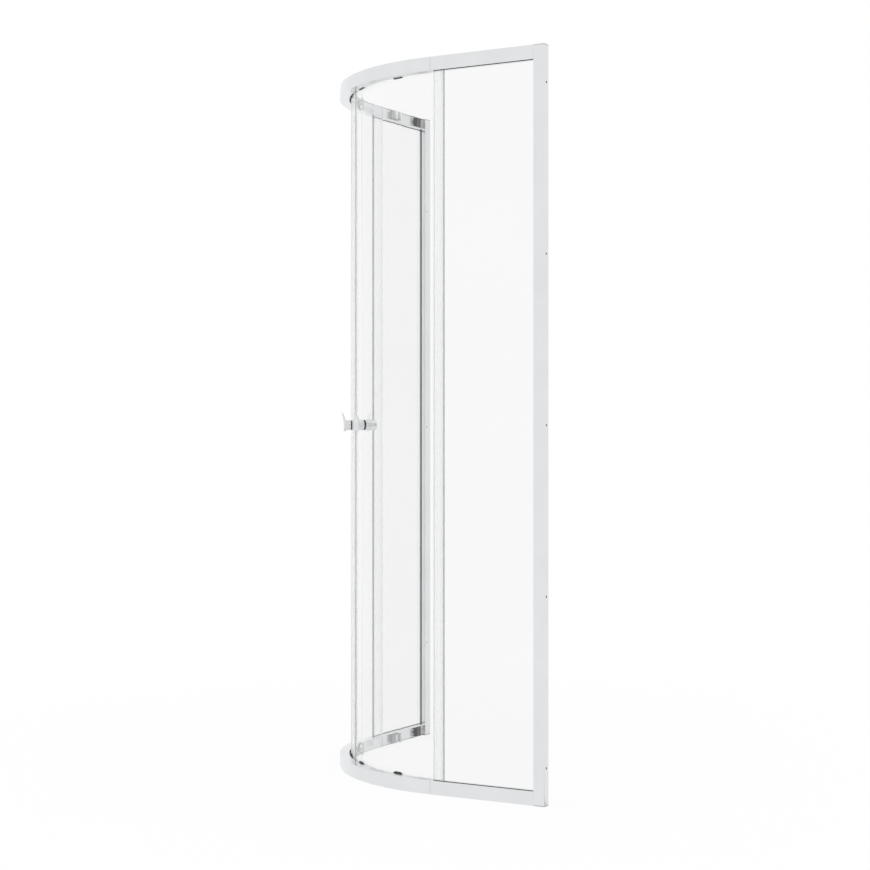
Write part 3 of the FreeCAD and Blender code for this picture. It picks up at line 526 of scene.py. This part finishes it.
def door_seals():
    """Magnetic strip on each leading edge, and U with a fin on each trailing edge."""
    middle = (GLASS_IN + GLASS_OUT) / 2
    out, back = GLASS_OUT + SEAL_CLEARANCE, GLASS_IN - SEAL_CLEARANCE
    lead = LEADING_EDGE - SEAL_CLEARANCE
    magnetic = [(MAGNET_NEAR, middle + MAGNET_HALF), (MAGNET_FAR, middle + MAGNET_HALF),
                (MAGNET_FAR, out + LEG_ROOT), (LEADING_LEG, out + DOOR_LEG), (LEADING_LEG, out),
                (lead, out), (lead, back), (LEADING_LEG, back), (LEADING_LEG, back - DOOR_LEG),
                (MAGNET_FAR, back - LEG_ROOT), (MAGNET_FAR, middle - MAGNET_HALF),
                (MAGNET_NEAR, middle - MAGNET_HALF)]
    edge = DOOR_OVERLAP + SEAL_CLEARANCE
    legs, end = edge - GRIP, edge + SEAL_BACK
    grip = [(legs, out), (legs, out + DOOR_LEG), (end, out + LEG_ROOT), (end, back - LEG_ROOT),
            (legs, back - DOOR_LEG), (legs, back), (edge, back), (edge, out)]
    tip = CURVE_RADIUS - FIXED_IN - 1.0             # just short of the fixed glass
    fin = [(edge + FIN_START, out + 0.4), (end, out + 0.4),
           (edge + DOOR_FIN + FIN_THICKNESS, tip), (edge + DOOR_FIN, tip)]
    for side in ("right", "left"):
        def leading(length, radius, z):
            return door_point(side, length, radius, z, MIDDLE_LINE)

        def trailing(length, radius, z):
            return door_point(side, length, radius, z, CURVE_END)

        shape = bmesh.new()
        upright(shape, rounded(magnetic, 0.6), leading, DOOR_END_GAP, HEIGHT - DOOR_END_GAP)
        piece(side + "_magnetic_strip", shape, [side + "_magnetic_seal"])
        shape = bmesh.new()
        upright(shape, rounded(grip, 0.3, 2), trailing, DOOR_END_GAP, HEIGHT - DOOR_END_GAP)
        upright(shape, rounded(fin, 0.2, 2), trailing, FIN_LOW, HEIGHT - FIN_LOW)
        piece(side + "_trailing_strip", shape, [side + "_trailing_seal"])


# ---- screws ----
def screw(shape, seat, outwards, shank):
    """Pan-head screw with a cross recess: seat is the middle of the head's underside."""
    turn = Vector((0, 0, 1)).rotation_difference(Vector(outwards)).to_matrix()
    profile = [(CROSS_WIDTH, SCREW_HEAD), (1.7, SCREW_HEAD - 0.1),
               (SCREW_HEAD_RADIUS - 0.9, SCREW_HEAD - 0.35),
               (SCREW_HEAD_RADIUS - 0.25, SCREW_HEAD - 0.9), (SCREW_HEAD_RADIUS, 0.0),
               (SCREW_RADIUS, 0.0), (SCREW_RADIUS, -shank)]
    steps = 32
    rings = []
    for radius, z in profile:
        ring = []
        for i in range(steps):
            angle = 2 * math.pi * i / steps
            arm = i % (steps // 4) in (0, 1, steps // 4 - 1)
            sunk = arm and CROSS_WIDTH < radius < CROSS_REACH and z > 0
            ring.append(Vector(seat) + turn @ Vector((radius * math.cos(angle),
                                                      radius * math.sin(angle),
                                                      z - CROSS_DEPTH if sunk else z)))
        rings.append(ring)
    rings[0] = [point + turn @ Vector((0, 0, -CROSS_DEPTH)) for point in rings[0]]
    skin(shape, rings)


def screws():
    """Screws of the brackets, stops and stiles, all in their CAD places."""
    tip = SLOT_END + 0.3
    places = [(POST_WIDTH + gap, z, WEB_FACE + BRACKET_THICKNESS)
              for gap in BRACKET_SCREWS for z in BRACKET_SCREW_LEVELS]
    places.append((STOP_START + STOP_LENGTH / 2, (STOP_LOW + STOP_HIGH) / 2,
                   WEB_FACE + STOP_THICKNESS))
    shape = bmesh.new()
    stile = bmesh.new()
    for side in ("right", "left"):
        outwards = (0, 1, 0) if side == "right" else (1, 0, 0)
        for wall, z, seat in places:
            for level in (z, HEIGHT - z):
                screw(shape, panel_point(side, wall, seat, level), outwards, seat - tip)
        for level in STILE_SCREW_LEVELS:
            screw(stile, panel_point(side, (STILE_BACK + POST_WIDTH) / 2, POST_DEPTH, level),
                  outwards, STILE_SHANK)
    piece("rail_screw_heads", shape, ["track_screws"])
    piece("stile_screw_heads", stile, ["stile_screws"])


# ---- handles ----
def handles():
    """Cast halves of the handles, their edges softened as polishing leaves them."""
    for side in ("right", "left"):
        node = side + "_handle_outer"
        shape = bmesh.new()
        shape.from_mesh(NODES[node].data)
        bmesh.ops.remove_doubles(shape, verts=shape.verts, dist=0.00001)
        made = piece(side + "_handle_casting", shape, [node], 60.0)
        made.modifiers.clear()
        even = made.modifiers.new("even_grid", "REMESH")
        even.mode = "VOXEL"
        even.voxel_size = 0.0005
        even.use_smooth_shade = True
        soft = made.modifiers.new("polished", "SMOOTH")
        soft.factor = 0.5
        soft.iterations = 8


# ---- studio ----
FRONT = Vector((-0.62, -0.76, 0.0)).normalized()


def studio_level(add, join, direction):
    """Brightness of the studio along a direction: bright in front, dim behind the walls."""
    unit = add("ShaderNodeVectorMath")
    unit.operation = "NORMALIZE"
    towards = add("ShaderNodeVectorMath")
    towards.operation = "DOT_PRODUCT"
    towards.inputs[1].default_value = FRONT
    level = add("ShaderNodeMapRange")
    level.interpolation_type = "SMOOTHSTEP"
    level.inputs["From Min"].default_value = -0.15
    level.inputs["From Max"].default_value = 0.20
    level.inputs["To Min"].default_value = 0.24
    level.inputs["To Max"].default_value = 1.0
    join(direction, unit.inputs[0])
    join(unit.outputs["Vector"], towards.inputs[0])
    join(towards.outputs["Value"], level.inputs["Value"])
    return level.outputs["Result"]


def white_share(add, join):
    """1 for camera, glossy and transmission rays, which all see the plain white backdrop."""
    path = add("ShaderNodeLightPath")
    straight = add("ShaderNodeMath")
    straight.operation = "MAXIMUM"
    seen = add("ShaderNodeMath")
    seen.operation = "MAXIMUM"
    join(path.outputs["Is Camera Ray"], straight.inputs[0])
    join(path.outputs["Is Transmission Ray"], straight.inputs[1])
    join(straight.outputs["Value"], seen.inputs[0])
    join(path.outputs["Is Glossy Ray"], seen.inputs[1])
    return seen.outputs["Value"]


def world():
    """White backdrop that metal and glass show too, with soft light from the front."""
    made = bpy.data.worlds.new("studio")
    bpy.context.scene.world = made
    made.use_nodes = True
    tree = made.node_tree
    tree.nodes.clear()
    add, join = tree.nodes.new, tree.links.new
    direction = add("ShaderNodeTexCoord")
    strength = add("ShaderNodeMix")
    strength.inputs["B"].default_value = 1.0
    background = add("ShaderNodeBackground")
    background.inputs["Color"].default_value = (1, 1, 1, 1)
    output = add("ShaderNodeOutputWorld")
    join(studio_level(add, join, direction.outputs["Generated"]), strength.inputs["A"])
    join(white_share(add, join), strength.inputs["Factor"])
    join(strength.outputs["Result"], background.inputs["Strength"])
    join(background.outputs["Background"], output.inputs["Surface"])


def floor():
    """Pale floor that fades into the backdrop and keeps the shadow."""
    mesh = bpy.data.meshes.new("floor")
    shape = bmesh.new()
    bmesh.ops.create_circle(shape, cap_ends=True, segments=96, radius=14.0)
    shape.to_mesh(mesh)
    shape.free()
    made = bpy.data.objects.new("floor", mesh)
    bpy.context.scene.collection.objects.link(made)
    made.location = (0, 0, -0.0004)
    shader = Shader("floor", Roughness=0.9)
    shader.surface.inputs["Specular IOR Level"].default_value = 0.0
    shader.colour_from(shader.tint(shader.noise(3.0, 4.0), (0.84, 0.84, 0.84), (0.86, 0.86, 0.86)))
    place = shader.place((1, 1, 1))
    distance = shader.add("ShaderNodeVectorMath", operation="LENGTH")
    fade = shader.add("ShaderNodeMapRange")
    fade.inputs["From Min"].default_value = 0.6
    fade.inputs["From Max"].default_value = 2.5
    fade.inputs["To Min"].default_value = 0.93
    fade.inputs["To Max"].default_value = 1.0
    strength = shader.add("ShaderNodeMix")
    strength.inputs["B"].default_value = 1.0
    glow = shader.add("ShaderNodeEmission")
    mix = shader.add("ShaderNodeMixShader")
    path = shader.add("ShaderNodeLightPath")
    seen = shader.add("ShaderNodeMath", operation="SUBTRACT")
    seen.inputs[0].default_value = 1.0
    share = shader.add("ShaderNodeMath", operation="MULTIPLY")
    shader.join(place, distance.inputs[0])
    shader.join(distance.outputs["Value"], fade.inputs["Value"])
    shader.join(studio_level(shader.add, shader.join, place), strength.inputs["A"])
    shader.join(white_share(shader.add, shader.join), strength.inputs["Factor"])
    shader.join(strength.outputs["Result"], glow.inputs["Strength"])
    shader.join(path.outputs["Is Diffuse Ray"], seen.inputs[1])
    shader.join(seen.outputs["Value"], share.inputs[0])
    shader.join(fade.outputs["Result"], share.inputs[1])
    shader.join(share.outputs["Value"], mix.inputs["Fac"])
    shader.join(shader.surface.outputs["BSDF"], mix.inputs[1])
    shader.join(glow.outputs["Emission"], mix.inputs[2])
    shader.join(mix.outputs["Shader"], shader.output.inputs["Surface"])
    made.data.materials.append(shader.material)


def soft_lamp(name, place, aim, size, power):
    lamp = bpy.data.lights.new(name, "AREA")
    lamp.shape = "RECTANGLE"
    lamp.size, lamp.size_y = size
    lamp.energy = power
    made = bpy.data.objects.new(name, lamp)
    made.location = place
    made.rotation_euler = (Vector(aim) - Vector(place)).to_track_quat("-Z", "Y").to_euler()
    made.visible_camera = False
    made.visible_glossy = False
    made.visible_transmission = False
    bpy.context.scene.collection.objects.link(made)


def lamps():
    soft_lamp("key", (-2.6, -3.4, 2.9), (0, 0, 1.0), (2.4, 2.4), 90)
    soft_lamp("fill", (3.0, 1.5, 3.2), (0, 0, 1.0), (2.5, 2.5), 90)


CAMERA_PLACE = (2.57293, -4.74793, 0.97419)
CAMERA_TURN = math.radians(29.76)       # to the left of +Y
CAMERA_LENS = 75.93


def camera():
    data = bpy.data.cameras.new("camera")
    data.lens = CAMERA_LENS
    data.sensor_width = 36.0
    made = bpy.data.objects.new("camera", data)
    made.location = CAMERA_PLACE
    made.rotation_euler = (math.radians(90), 0, CAMERA_TURN)
    bpy.context.scene.collection.objects.link(made)
    bpy.context.scene.camera = made


dress_frame()
rails()
uprights()
fixed_glass()
overlap_seals()
door_seals()
screws()
handles()
world()
floor()
lamps()
camera()
bpy.context.scene.view_settings.view_transform = "Standard"
